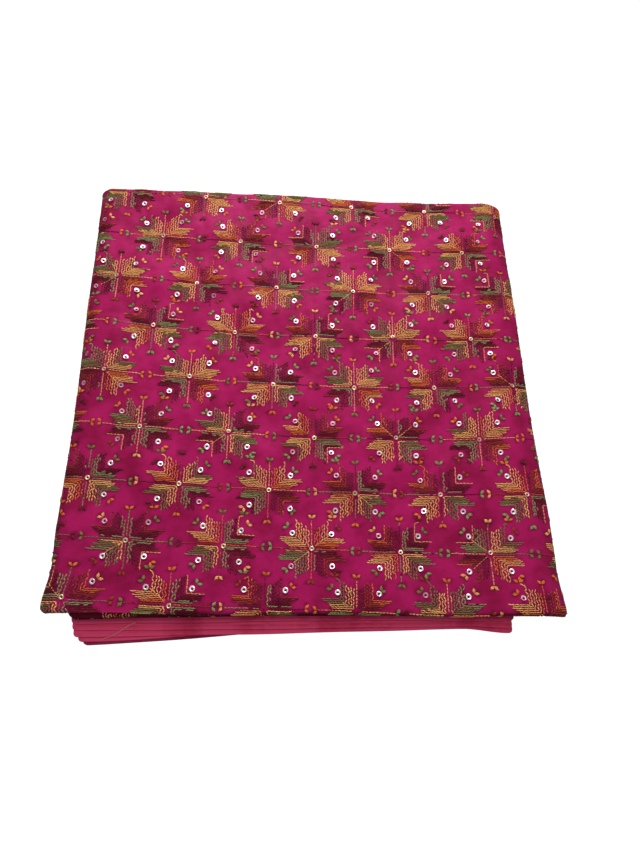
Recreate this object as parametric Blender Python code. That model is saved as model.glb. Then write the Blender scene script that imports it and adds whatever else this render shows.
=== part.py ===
"""Phulkari shawl folded into a flat square bundle.

An embroidered panel is folded in three one way and in six the other, with its plain lining
folded beneath it. The outermost leaf of the panel overhangs the stack at the left and right
and droops there. Metres, +Z up, +X to the right, the fold edges that show face -Y.
"""

import math

import bpy

MM = 0.001

# The cut and how it is folded.
PANEL_WIDTH = 1016 * MM
PANEL_LENGTH = 2032 * MM
FOLDS_ACROSS = 3
FOLDS_ALONG = 6
BUNDLE_WIDTH = PANEL_WIDTH / FOLDS_ACROSS
BUNDLE_DEPTH = PANEL_LENGTH / FOLDS_ALONG

# Cloth.
CLOTH_WALL = 1.2 * MM
GAP = 0.3 * MM

# The outermost leaf: a fold of cloth that rolls over all four edges.
LEAF_HALF = 2.7 * MM
LEAF_SUNK = 1.6 * MM
DISH_STEEPNESS = 1.6
TUCK = 9 * MM
LEAST_CORNER = 1.5 * MM
LEAF_CORNERS = {"back_left": 6 * MM, "back_right": 4.5 * MM, "front_right": 4 * MM, "front_left": 6 * MM}
FLARE = {"left": 5.5 * MM, "right": 4.5 * MM}
FLARE_REACH = 34 * MM
DROOP = {"left": 4.5 * MM, "right": 6.5 * MM}
CORNER_DROOP = 3 * MM
CORNER_REACH = 60 * MM
# The front edge isn't square to the sides: it comes out by this much, and by this slope more to
# the right and less to the left.
FRONT_OUT = 0.9 * MM
FRONT_SLOPE = 0.0225
# How much of a full soft step the overhang bends through before its edge ends it.
DROOP_TURN = 0.62

# The stack below, from the edges of the outermost leaf inwards; front is how far it comes out.
STACK_LEFT = 11 * MM
STACK_RIGHT = 27 * MM
STACK_BACK = 4 * MM
STACK_CORNER = 5 * MM
STACK_FRONT = 1.5 * MM
DROOP_REACH = {"left": 10 * MM, "right": 19 * MM}

# The part of the hidden layers that rises inside the outermost leaf. It stops short of the leaf's
# rolled and overhanging edges, which are hollow, and its top stays clear of the leaf's wall.
FILL_LEFT = 17 * MM
FILL_RIGHT = 30 * MM
FILL_FRONT = 12 * MM
FILL_BACK = 12 * MM
FILL_CORNER = 5 * MM
FILL_ROOM = 0.6 * MM
FILL_INSETS = (0, 7 * MM, 18 * MM, 36 * MM, 66 * MM, 105 * MM)

# Folds of the lining, bottom one first. front is measured from the outermost leaf's front edge,
# slant is how far the front edge runs back from its left end to its right end.
LINING_FOLD = 2.9 * MM
# Where a slanting front edge starts and ends its run back, as shares of the half width.
SLANT_START = -0.92
SLANT_END = -0.2
LINING_TABLE = (
    # name, left, right, front, slant, back
    ("lining_lower_fold", 17.5 * MM, 30 * MM, 16.6 * MM, 7.5 * MM, 12 * MM),
    ("lining_middle_fold", 11.5 * MM, 28 * MM, 11.9 * MM, 0.6 * MM, 9 * MM),
    ("lining_upper_fold", 11 * MM, 27.5 * MM, 3.7 * MM, -2.5 * MM, 7 * MM),
)

# Folds of the hidden embroidered layers, bottom one first.
INNER_FOLD = 2.4 * MM
INNER_GROOVE = 1.3 * MM
INNER_STEP = 0.1 * MM
# The share of a fold's height at each of its rings, and of the groove's depth it is drawn in by.
INNER_PROFILE = ((0.0, 1.0), (0.3, 0.0), (0.7, 0.0), (1.0, 1.0))
INNER_TABLE = (
    # left, right, front, back: how far each fold stands out from the stack's own edges
    (0.0 * MM, 0.4 * MM, 0.6 * MM, -1.0 * MM),
    (-1.6 * MM, -0.8 * MM, -0.8 * MM, 0.8 * MM),
    (-0.4 * MM, -2.0 * MM, -1.4 * MM, -0.6 * MM),
    (0.2 * MM, 0.6 * MM, 0.4 * MM, 0.0 * MM),
)

# How finely the rings are cut.
CORNER_STEPS = 4
SIDE_SHARES = (0.02, 0.045, 0.075, 0.13, 0.28)
TOP_INSETS = (120 * MM, 75 * MM, 42 * MM, 24 * MM, 14 * MM, 7 * MM)
ROLL_ANGLES = (60, 30, 0, -30, -60)

# Colours, from the satin of the panel and the lining.
MATERIALS = {
    "panel": ((0.33, 0.013, 0.11, 1), 0.45),
    "panel_inner": ((0.20, 0.016, 0.05, 1), 0.6),
    "lining": ((0.47, 0.028, 0.085, 1), 0.5),
}

HALF_WIDTH = BUNDLE_WIDTH / 2
HALF_DEPTH = BUNDLE_DEPTH / 2
LINING_TOP = len(LINING_TABLE) * (LINING_FOLD + GAP) - GAP
STACK_TOP = LINING_TOP + GAP + len(INNER_TABLE) * INNER_FOLD
LEAF_MIDDLE = STACK_TOP + GAP + LEAF_HALF


def smooth(value):
    """A soft step from 0 to 1 as value goes from 0 to 1."""
    value = min(max(value, 0.0), 1.0)
    return value * value * (3 - 2 * value)


def rounded_ring(left, right, front, back, radii):
    """A rounded rectangle's points, anticlockwise from its front right corner.

    The four sides are distances from the middle. radii holds the corners in the order
    front_right, back_right, back_left, front_left.
    """
    centres = (
        (right, -front, -1, 1, -90),
        (right, back, -1, -1, 0),
        (-left, back, 1, -1, 90),
        (-left, -front, 1, 1, 180),
    )
    corners = []
    for (x, y, inward_x, inward_y, first), radius in zip(centres, radii):
        arc = []
        for step in range(CORNER_STEPS + 1):
            angle = math.radians(first + 90 * step / CORNER_STEPS)
            arc.append(
                (
                    x + inward_x * radius + radius * math.cos(angle),
                    y + inward_y * radius + radius * math.sin(angle),
                )
            )
        corners.append(arc)
    points = []
    for arc, following in zip(corners, corners[1:] + corners[:1]):
        points.extend(arc)
        start, end = arc[-1], following[0]
        shares = [*SIDE_SHARES, 0.5, *(1 - share for share in SIDE_SHARES[::-1])]
        for part in shares:
            points.append(
                (
                    start[0] + (end[0] - start[0]) * part,
                    start[1] + (end[1] - start[1]) * part,
                )
            )
    return points


def leaf_outline(inset):
    """The outermost leaf's outline, drawn in by inset on every side."""
    radii = [
        max(LEAF_CORNERS[name] - inset, LEAST_CORNER)
        for name in ("front_right", "back_right", "back_left", "front_left")
    ]
    ring = rounded_ring(
        HALF_WIDTH - inset, HALF_WIDTH - inset, HALF_DEPTH - inset, HALF_DEPTH - inset, radii
    )
    return [(flared(x, y), skewed(x, y)) for x, y in ring]


def flared(x, y):
    """x moved outwards where the leaf spreads at its front corners."""
    side = "left" if x < 0 else "right"
    near_front = smooth(1 - (y + HALF_DEPTH) / FLARE_REACH)
    near_side = smooth((abs(x) - HALF_WIDTH + 3 * FLARE_REACH) / (3 * FLARE_REACH))
    return x + math.copysign(FLARE[side] * near_front * near_side, x)


def skewed(x, y):
    """y moved so that the front edge slopes. The back edge stays."""
    return y - (FRONT_OUT + FRONT_SLOPE * x) * smooth(-y / HALF_DEPTH)


def droop(x, y):
    """How far the leaf hangs below the stack's level where it overhangs."""
    side = "left" if x < 0 else "right"
    past = (abs(x) - HALF_WIDTH) / DROOP_REACH[side] + 1
    near_front = smooth(1 - (y + HALF_DEPTH) / CORNER_REACH)
    return (DROOP[side] + CORNER_DROOP * near_front) * smooth(past * DROOP_TURN) / smooth(DROOP_TURN)


def sunk(x, y):
    """How far the leaf's top lies below its fold edges, deepest in the middle."""
    along = 1 - (x / HALF_WIDTH) ** 2
    across = 1 - (y / HALF_DEPTH) ** 2
    deep_along = smooth(DISH_STEEPNESS * max(along, 0.0))
    deep_across = smooth(DISH_STEEPNESS * max(across, 0.0))
    return LEAF_SUNK * deep_along * deep_across


def leaf_surface(offset):
    """Rings over the leaf, top first and tuck last, moved in from its outer face by offset."""
    half = LEAF_HALF - offset
    rings = []
    for inset in TOP_INSETS:
        rings.append(
            [(x, y, LEAF_MIDDLE + half - sunk(x, y) - droop(x, y)) for x, y in leaf_outline(inset)]
        )
    for degrees in ROLL_ANGLES:
        angle = math.radians(degrees)
        inset = LEAF_HALF - half * math.cos(angle)
        height = LEAF_MIDDLE + half * math.sin(angle)
        rings.append([(x, y, height - droop(x, y)) for x, y in leaf_outline(inset)])
    for inset in (LEAF_HALF, TUCK):
        rings.append([(x, y, LEAF_MIDDLE - half - droop(x, y)) for x, y in leaf_outline(inset)])
    return rings


def level_ring(left, right, front, back, radius, height):
    """A level ring at one height, with the same radius at every corner."""
    ring = rounded_ring(left, right, front, back, [radius] * 4)
    return [(x, y, height) for x, y in ring]


def inner_rings():
    """Rings of the hidden layers, from their underside to inside the outermost leaf."""
    rings = []
    height = LINING_TOP + GAP
    for left, right, front, back in INNER_TABLE:
        sides = (
            HALF_WIDTH - STACK_LEFT + left,
            HALF_WIDTH - STACK_RIGHT + right,
            HALF_DEPTH + STACK_FRONT + front,
            HALF_DEPTH - STACK_BACK + back,
        )
        for share, groove in INNER_PROFILE:
            drawn_in = INNER_GROOVE * groove
            narrow = [side - drawn_in for side in sides]
            level = height + (INNER_FOLD - INNER_STEP) * share
            rings.append(level_ring(*narrow, STACK_CORNER - drawn_in, level))
        height += INNER_FOLD
    return rings + fill_rings(height - INNER_STEP)


def fill_rings(bottom):
    """Rings of the layers that rise into the outermost leaf, dished as it is."""
    sides = (HALF_WIDTH - FILL_LEFT, HALF_WIDTH - FILL_RIGHT)
    ends = (HALF_DEPTH - FILL_FRONT, HALF_DEPTH - FILL_BACK)
    top = LEAF_MIDDLE + LEAF_HALF - CLOTH_WALL - FILL_ROOM
    rings = [level_ring(*sides, *ends, FILL_CORNER, bottom)]
    for inset in FILL_INSETS:
        drawn_in = [side - inset for side in (*sides, *ends)]
        ring = level_ring(*drawn_in, max(FILL_CORNER - inset, LEAST_CORNER), top)
        rings.append([(x, y, z - sunk(x, y)) for x, y, z in ring])
    return rings


def lining_rings(left, right, front, slant, back, bottom):
    """Rings of one fold of the lining: flat faces and edges rolled like a folded cloth's."""
    half = LINING_FOLD / 2
    rings = []
    for degrees in (-90, -45, 0, 45, 90):
        angle = math.radians(degrees)
        drawn_in = half * (1 - math.cos(angle))
        ring = rounded_ring(
            HALF_WIDTH - left - drawn_in,
            HALF_WIDTH - right - drawn_in,
            HALF_DEPTH + front - drawn_in,
            HALF_DEPTH - back - drawn_in,
            [STACK_CORNER - drawn_in] * 4,
        )
        height = bottom + half + half * math.sin(angle)
        rings.append([(x, y + slanted(x, y, slant), height) for x, y in ring])
    return rings


def slanted(x, y, slant):
    """How far a fold's front edge runs back at x. Its back edge stays."""
    along = smooth((x / HALF_WIDTH - SLANT_START) / (SLANT_END - SLANT_START))
    return slant * along * smooth(-y / HALF_DEPTH)


def split_quad(points, a, b, c, d):
    """A quad's two triangles, split along its shorter diagonal.

    Both skins of a thin wall are then split alike, so that neither pokes through the other where
    the wall curves tightly.
    """
    if math.dist(points[a], points[c]) <= math.dist(points[b], points[d]):
        return ((a, b, c), (a, c, d))
    return ((a, b, d), (b, c, d))


def cloth_object(name, rings, finish):
    """One closed body lofted through rings of equal length, capped at both ends."""
    points = [point for ring in rings for point in ring]
    count = len(rings[0])
    faces = []
    for lower in range(len(rings) - 1):
        for step in range(count):
            after = (step + 1) % count
            faces.extend(
                split_quad(
                    points,
                    lower * count + step,
                    lower * count + after,
                    (lower + 1) * count + after,
                    (lower + 1) * count + step,
                )
            )
    for first, turned in ((0, True), ((len(rings) - 1) * count, False)):
        hub = len(points)
        ring = points[first : first + count]
        points.append(tuple(sum(point[axis] for point in ring) / count for axis in range(3)))
        for step in range(count):
            ends = (first + step, first + (step + 1) % count)
            faces.append((ends[1], ends[0], hub) if turned else (ends[0], ends[1], hub))
    mesh = bpy.data.meshes.new(name)
    mesh.from_pydata(points, [], faces)
    mesh.shade_smooth()
    mesh.set_sharp_from_angle(angle=math.radians(40))
    mesh.materials.append(finish)
    cloth = bpy.data.objects.new(name, mesh)
    bpy.context.scene.collection.objects.link(cloth)
    return cloth


def cloth_material(name):
    """A plain satin cloth in one of the named colours."""
    colour, roughness = MATERIALS[name]
    material = bpy.data.materials.new(name)
    material.use_nodes = True
    shader = material.node_tree.nodes["Principled BSDF"]
    shader.inputs["Base Color"].default_value = colour
    shader.inputs["Roughness"].default_value = roughness
    shader.inputs["Metallic"].default_value = 0
    return material


def panel_leaf(finish):
    """The stretch of the embroidered panel that shows: a wall rolled over every edge."""
    inside_out = leaf_surface(CLOTH_WALL)
    outside = leaf_surface(0)
    return cloth_object("panel_outer_leaf", inside_out + outside[::-1], finish)


def panel_inner(finish):
    """The panel's hidden layers as one solid, layered at its edges."""
    return cloth_object("panel_inner_folds", inner_rings(), finish)


def lining_folds(finish):
    """The lining's three folds, each standing out a little further than the one above."""
    made = []
    for level, (name, left, right, front, slant, back) in enumerate(LINING_TABLE):
        bottom = level * (LINING_FOLD + GAP)
        made.append(
            cloth_object(name, lining_rings(left, right, front, slant, back, bottom), finish)
        )
    return made


def centre_on_base(pieces):
    """Moves every mesh so that the middle of the whole underside is at the origin."""
    corners = [vertex.co for piece in pieces for vertex in piece.data.vertices]
    middle = [
        (min(corner[axis] for corner in corners) + max(corner[axis] for corner in corners)) / 2
        for axis in (0, 1)
    ]
    for piece in pieces:
        for vertex in piece.data.vertices:
            vertex.co.x -= middle[0]
            vertex.co.y -= middle[1]


def main():
    """Clears the scene and builds the folded shawl."""
    for old in list(bpy.data.objects):
        bpy.data.objects.remove(old)
    panel = cloth_material("panel")
    hidden = cloth_material("panel_inner")
    lining = cloth_material("lining")
    centre_on_base([panel_leaf(panel), panel_inner(hidden), *lining_folds(lining)])


main()
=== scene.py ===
"""The folded phulkari shawl: its satin, embroidery, sequins and lining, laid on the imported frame.

A magenta satin panel, machine embroidered all over with stars in a variegated thread and sewn
with cup sequins, lies folded over its plain lining. The cloth is laid by one mapping from flat
cloth to the folded form, and the same mapping carries every stitch and sequin.
"""

from __future__ import annotations

import logging
import math
from dataclasses import dataclass
from enum import Enum

import bpy
import numpy as np
from mathutils import Matrix, Vector


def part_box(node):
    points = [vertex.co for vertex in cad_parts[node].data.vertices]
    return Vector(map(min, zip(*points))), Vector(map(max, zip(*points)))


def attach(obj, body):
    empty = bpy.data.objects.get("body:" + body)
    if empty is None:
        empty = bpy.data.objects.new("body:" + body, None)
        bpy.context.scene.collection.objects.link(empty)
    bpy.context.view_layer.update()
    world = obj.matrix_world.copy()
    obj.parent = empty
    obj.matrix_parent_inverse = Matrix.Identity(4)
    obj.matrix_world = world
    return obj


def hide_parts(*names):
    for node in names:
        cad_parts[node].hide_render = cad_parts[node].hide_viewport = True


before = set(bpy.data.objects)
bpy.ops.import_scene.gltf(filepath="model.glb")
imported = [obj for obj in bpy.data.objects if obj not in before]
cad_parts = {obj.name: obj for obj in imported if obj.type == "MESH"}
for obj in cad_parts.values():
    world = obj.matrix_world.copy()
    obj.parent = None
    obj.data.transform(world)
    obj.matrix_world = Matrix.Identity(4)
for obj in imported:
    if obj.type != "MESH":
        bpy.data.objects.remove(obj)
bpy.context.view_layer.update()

MM = 0.001
BODY = "root"
# The panel is 1016 mm wide and is folded in three.
BUNDLE_SIDE = 1016 * MM / 3
# The colour sockets of a Mix node: its two colours and its result.
MIX_A, MIX_B, MIXED = 6, 7, 2
# Which way each quarter of a star faces, across and along.
QUARTERS = ((1, 1), (1, -1), (-1, -1), (-1, 1))
log = logging.getLogger("shawl")


def smooth(value: np.ndarray | float) -> np.ndarray:
    """A soft step from 0 to 1 as value goes from 0 to 1."""
    value = np.clip(value, 0.0, 1.0)
    return value * value * (3 - 2 * value)


def linear(code: str) -> tuple[float, float, float, float]:
    """An sRGB hex colour as the linear values that a shader takes.

    Args:
        code: a # and six hex digits.

    Returns:
        Red, green, blue and alpha.
    """
    values = [int(code[i : i + 2], 16) / 255 for i in (1, 3, 5)]
    made = [v / 12.92 if v <= 0.04045 else ((v + 0.055) / 1.055) ** 2.4 for v in values]
    return made[0], made[1], made[2], 1.0


def add_node(tree: bpy.types.NodeTree, kind: str, links: dict | None = None, **settings) -> bpy.types.Node:
    """Adds one node to a tree.

    Args:
        tree: the node tree.
        kind: the node's type name.
        links: input name or index to a value, or to the output socket that feeds it.
        settings: the node's own properties.

    Returns:
        The node.
    """
    node = tree.nodes.new(kind)
    for name, value in settings.items():
        setattr(node, name, value)
    for key, value in (links or {}).items():
        socket = node.inputs[key]
        if isinstance(value, bpy.types.NodeSocket):
            tree.links.new(value, socket)
        else:
            socket.default_value = value
    return node


def new_material(name: str) -> tuple[bpy.types.Material, bpy.types.NodeTree, bpy.types.Node]:
    """An empty node material.

    Args:
        name: what the real material is.

    Returns:
        The material, its tree and its Principled shader.
    """
    material = bpy.data.materials.new(name)
    material.use_nodes = True
    tree = material.node_tree
    return material, tree, tree.nodes["Principled BSDF"]


def new_mesh(name: str, points: list, faces: list) -> bpy.types.Mesh:
    """A smooth mesh from its points and faces."""
    mesh = bpy.data.meshes.new(name)
    mesh.from_pydata(points, [], faces)
    mesh.shade_smooth()
    return mesh


def new_object(name: str, data: bpy.types.ID) -> bpy.types.Object:
    """An object in the scene that holds the data."""
    made = bpy.data.objects.new(name, data)
    bpy.context.scene.collection.objects.link(made)
    return made


# ---------------------------------------------------------------- finishes


@dataclass(frozen=True)
class SatinFinish:
    """Polyester satin: a smooth float-faced weave that shines along its threads.

    lit and shaded are its two tones, mixed in random clouds with the weave: partly the shot satin's
    own colour and partly painted sheen and pucker shade. The colour between close stitches is
    painted shade, and turned is painted shade on a folded edge, darker the less level it lies.
    """

    name: str
    lit: str
    shaded: str
    worked: str
    turned: str
    roughness: float
    sheen: float
    sheen_tint: str
    gloss: float
    gloss_tint: str
    ior: float = 1.5
    sheen_roughness: float = 0.35
    # How much smoother and rougher the threads are than that, from one to the next.
    thread_roughness: tuple[float, float] = (-0.06, 0.1)
    # Real satin has about 60 threads a centimetre. They are drawn coarser so that they show.
    thread_pitch: float = 0.55 * MM
    # The weave changes this much more slowly along its threads than across them.
    float_share: float = 0.12
    cloud: float = 26 * MM
    cloud_edges: tuple[float, float] = (0.36, 0.64)
    # How level the cloth lies where the painted shade of a folded edge is full, and where it starts.
    edge_shade_levels: tuple[float, float] = (0.3, 0.92)
    thread_bump: float = 0.12
    thread_depth: float = 0.2 * MM
    pucker_bump: float = 0.35
    pucker_depth: float = 0.8 * MM

    def material(self) -> bpy.types.Material:
        """The satin as a material on the cloth's own flat coordinates."""
        made, tree, shader = new_material(self.name)
        flat = add_node(tree, "ShaderNodeUVMap", uv_map="cloth").outputs["UV"]
        turns = 1 / self.thread_pitch
        weft = add_node(
            tree, "ShaderNodeMapping", {"Vector": flat, "Scale": (turns * self.float_share, turns, 1)}
        )
        threads = add_node(
            tree, "ShaderNodeTexNoise", {"Vector": weft.outputs[0], "Scale": 1.0, "Detail": 2.0}
        ).outputs["Fac"]
        clouds = add_node(
            tree,
            "ShaderNodeTexNoise",
            {"Vector": flat, "Scale": 1 / self.cloud, "Detail": 3.0, "Roughness": 0.6},
        )
        puckers = add_node(
            tree, "ShaderNodeTexNoise", {"Vector": flat, "Scale": 4 / self.cloud, "Detail": 2.0}
        )
        low, high = self.cloud_edges
        cloud_share = add_node(
            tree,
            "ShaderNodeMapRange",
            {"Value": clouds.outputs["Fac"], "From Min": low, "From Max": high},
        )
        thread_share = add_node(
            tree,
            "ShaderNodeMath",
            {0: threads, 1: 0.5, 2: cloud_share.outputs[0]},
            operation="MULTIPLY_ADD",
        )
        # Painted shade between close stitches, by the share of it stored on the cloth.
        stitched = add_node(tree, "ShaderNodeAttribute", attribute_name="worked")
        # Painted shade on folded edges, more of it the less level the cloth lies.
        lay = add_node(tree, "ShaderNodeNewGeometry")
        rise = add_node(tree, "ShaderNodeSeparateXYZ", {0: lay.outputs["Normal"]})
        level = add_node(tree, "ShaderNodeMath", {0: rise.outputs["Z"]}, operation="ABSOLUTE")
        low, high = self.edge_shade_levels
        edge_shade_share = add_node(
            tree,
            "ShaderNodeMapRange",
            {"Value": level.outputs[0], "From Min": low, "From Max": high, "To Min": 1.0, "To Max": 0.0},
        )
        # Two tones in random clouds, partly real shot colour and partly painted sheen and shade, then both
        # painted shades over them.
        colour = linear(self.shaded)
        layers = (
            (thread_share.outputs[0], self.lit),
            (stitched.outputs["Fac"], self.worked),
            (edge_shade_share.outputs[0], self.turned),
        )
        for share, code in layers:
            layer = add_node(
                tree,
                "ShaderNodeMix",
                {"Factor": share, MIX_A: colour, MIX_B: linear(code)},
                data_type="RGBA",
            )
            colour = layer.outputs[MIXED]
        tree.links.new(colour, shader.inputs["Base Color"])
        low, high = (self.roughness + change for change in self.thread_roughness)
        rough = add_node(tree, "ShaderNodeMapRange", {"Value": threads, "To Min": low, "To Max": high})
        tree.links.new(rough.outputs[0], shader.inputs["Roughness"])
        constants = {
            "IOR": self.ior,
            "Specular IOR Level": self.gloss,
            "Specular Tint": linear(self.gloss_tint),
            "Sheen Weight": self.sheen,
            "Sheen Roughness": self.sheen_roughness,
            "Sheen Tint": linear(self.sheen_tint),
        }
        for socket, value in constants.items():
            shader.inputs[socket].default_value = value
        soft = add_node(
            tree,
            "ShaderNodeBump",
            {
                "Height": puckers.outputs["Fac"],
                "Strength": self.pucker_bump,
                "Distance": self.pucker_depth,
            },
        )
        fine = add_node(
            tree,
            "ShaderNodeBump",
            {
                "Height": threads,
                "Strength": self.thread_bump,
                "Distance": self.thread_depth,
                "Normal": soft.outputs[0],
            },
        )
        tree.links.new(fine.outputs[0], shader.inputs["Normal"])
        return made


# The panel: magenta in the light, going to crimson in the shade.
MAGENTA_SATIN = SatinFinish(
    name="magenta_satin",
    lit="#A01A54",
    shaded="#7C1234",
    # Painted shade between close stitches, and painted shade on folded edges.
    worked="#5E1230",
    turned="#3A0C1A",
    roughness=0.46,
    sheen=0.03,
    sheen_tint="#E040B0",
    gloss=0.2,
    gloss_tint="#E03090",
)
# The same satin darkened with painted shade, for the folds deep between the others, where little light
# comes.
PAINTED_SHADE_MAGENTA_SATIN = SatinFinish(
    name="shaded_magenta_satin",
    lit="#5C1026",
    shaded="#3E0A16",
    # Painted shade between close stitches, and painted shade on folded edges.
    worked="#3E0A16",
    turned="#2C0810",
    roughness=0.55,
    sheen=0.0,
    sheen_tint="#E040B0",
    gloss=0.15,
    gloss_tint="#A02050",
)
# The lining: crimson pink, smoother and glossier than the panel, with little pucker.
CRIMSON_PINK_SATIN = SatinFinish(
    name="crimson_pink_satin",
    lit="#F85080",
    shaded="#CE2C54",
    # Painted shade between close stitches, and painted shade on folded edges.
    worked="#C4284E",
    turned="#4C0E1C",
    roughness=0.38,
    sheen=0.14,
    sheen_tint="#F08090",
    gloss=0.85,
    gloss_tint="#F06088",
    pucker_bump=0.12,
)
# The lining satin darkened with painted shade, for its lowest fold, in the shade of the ones above.
PAINTED_SHADE_CRIMSON_SATIN = SatinFinish(
    name="shaded_crimson_satin",
    lit="#A83458",
    shaded="#821C38",
    # Painted shade between close stitches, and painted shade on folded edges.
    worked="#821C38",
    turned="#3C0A16",
    roughness=0.5,
    sheen=0.04,
    sheen_tint="#F08090",
    gloss=0.3,
    gloss_tint="#C04868",
    pucker_bump=0.12,
)


@dataclass(frozen=True)
class ThreadFinish:
    """Rayon embroidery thread: two twisted plies with a silky gloss along them."""

    name: str
    colour: str
    roughness: float = 0.42
    gloss: float = 0.3
    dye_length: float = 9 * MM
    # How red, green and blue change where the dye took least and most.
    palest: tuple[float, float, float] = (1.22, 1.25, 1.15)
    deepest: tuple[float, float, float] = (0.72, 0.7, 0.72)

    def material(self) -> bpy.types.Material:
        """The thread, a little uneven in its dye from stitch to stitch."""
        made, tree, shader = new_material(self.name)
        place = add_node(tree, "ShaderNodeTexCoord")
        dye = add_node(
            tree,
            "ShaderNodeTexNoise",
            {"Vector": place.outputs["Object"], "Scale": 1 / self.dye_length, "Detail": 1.0},
        )
        colour = linear(self.colour)
        deep, pale = (
            (*(min(value * change, 1) for value, change in zip(colour, changes)), 1)
            for changes in (self.deepest, self.palest)
        )
        uneven = add_node(
            tree,
            "ShaderNodeMix",
            {"Factor": dye.outputs["Fac"], MIX_A: deep, MIX_B: pale},
            data_type="RGBA",
        )
        tree.links.new(uneven.outputs[MIXED], shader.inputs["Base Color"])
        shader.inputs["Roughness"].default_value = self.roughness
        shader.inputs["Specular IOR Level"].default_value = self.gloss
        shader.inputs["Specular Tint"].default_value = colour
        return made


@dataclass(frozen=True)
class SequinFinish:
    """Metallised polyester cup sequin, with a faint warm and cool play from one to the next."""

    name: str
    warm: str
    cool: str
    metallic: float
    roughness: float
    tint_length: float = 14 * MM

    def material(self) -> bpy.types.Material:
        """The film, slightly tinted from sequin to sequin."""
        made, tree, shader = new_material(self.name)
        place = add_node(tree, "ShaderNodeTexCoord")
        tint = add_node(
            tree,
            "ShaderNodeTexNoise",
            {"Vector": place.outputs["Object"], "Scale": 1 / self.tint_length, "Detail": 0.0},
        )
        film = add_node(
            tree,
            "ShaderNodeMix",
            {"Factor": tint.outputs["Fac"], MIX_A: linear(self.warm), MIX_B: linear(self.cool)},
            data_type="RGBA",
        )
        tree.links.new(film.outputs[MIXED], shader.inputs["Base Color"])
        shader.inputs["Metallic"].default_value = self.metallic
        shader.inputs["Roughness"].default_value = self.roughness
        return made


class SequinKind(Enum):
    """The three looks of the sequins: name, finish, radius and how far they lean."""

    BRIGHT = (SequinFinish("silver_sequin_film", "#F6E0DA", "#F4E6E4", 0.7, 0.3), 1.98 * MM, 0.24)
    DULL = (SequinFinish("rosy_sequin_film", "#D0A0A4", "#C490A0", 0.4, 0.36), 1.9 * MM, 0.26)
    GOLD = (SequinFinish("gold_sequin_film", "#DCC49C", "#B8A878", 0.5, 0.32), 1.65 * MM, 0.2)


class Skein(Enum):
    """The shades that the variegated thread passes through, in order."""

    GREEN = "#84905C"
    OLIVE = "#7A7244"
    GOLD = "#E8B068"
    PEACH = "#F4A466"
    ORANGE = "#D86C34"
    RUST = "#963A28"
    MAROON = "#6E2428"
    PLUM = "#5C1A22"


# How much of one dye cycle each shade takes.
SKEIN_SHARES = {
    Skein.GREEN: 0.12,
    Skein.OLIVE: 0.15,
    Skein.GOLD: 0.16,
    Skein.PEACH: 0.14,
    Skein.ORANGE: 0.13,
    Skein.RUST: 0.12,
    Skein.MAROON: 0.10,
    Skein.PLUM: 0.08,
}
# The same for the leaves, which are mostly green and orange.
LEAF_SHADES = (
    *(Skein.GREEN,) * 2,
    *(Skein.OLIVE,) * 2,
    *(Skein.ORANGE,) * 2,
    Skein.PEACH,
    Skein.RUST,
    Skein.MAROON,
)


# ---------------------------------------------------------------- folded cloth


# How far past its ends a crease fades, in its widths.
CREASE_FADE = 1.8
# How far to either side of a point the cloth is felt for the way that it faces.
FACING_STEP = 0.25 * MM


@dataclass(frozen=True)
class Crease:
    """A soft straight trough or ridge in the cloth.

    start and end are flat cloth coordinates, width is its half width, and rise is its height,
    negative for a trough.
    """

    start: tuple[float, float]
    end: tuple[float, float]
    width: float
    rise: float

    @staticmethod
    def of_mm(start: tuple, end: tuple, width: float, rise: float) -> "Crease":
        """A crease from sizes in millimetres."""
        ends = [tuple(value * MM for value in spot) for spot in (start, end)]
        return Crease(*ends, width * MM, rise * MM)

    def height(self, x: np.ndarray, y: np.ndarray) -> np.ndarray:
        """Its height at points of the cloth."""
        ax, ay = self.start
        bx, by = self.end
        length = math.hypot(bx - ax, by - ay)
        along = ((x - ax) * (bx - ax) + (y - ay) * (by - ay)) / length
        aside = ((x - ax) * (by - ay) - (y - ay) * (bx - ax)) / length
        past = np.maximum(np.maximum(-along, along - length), 0)
        fade = CREASE_FADE * self.width
        return self.rise * np.exp(-((aside / self.width) ** 2) - (past / fade) ** 2)


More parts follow.
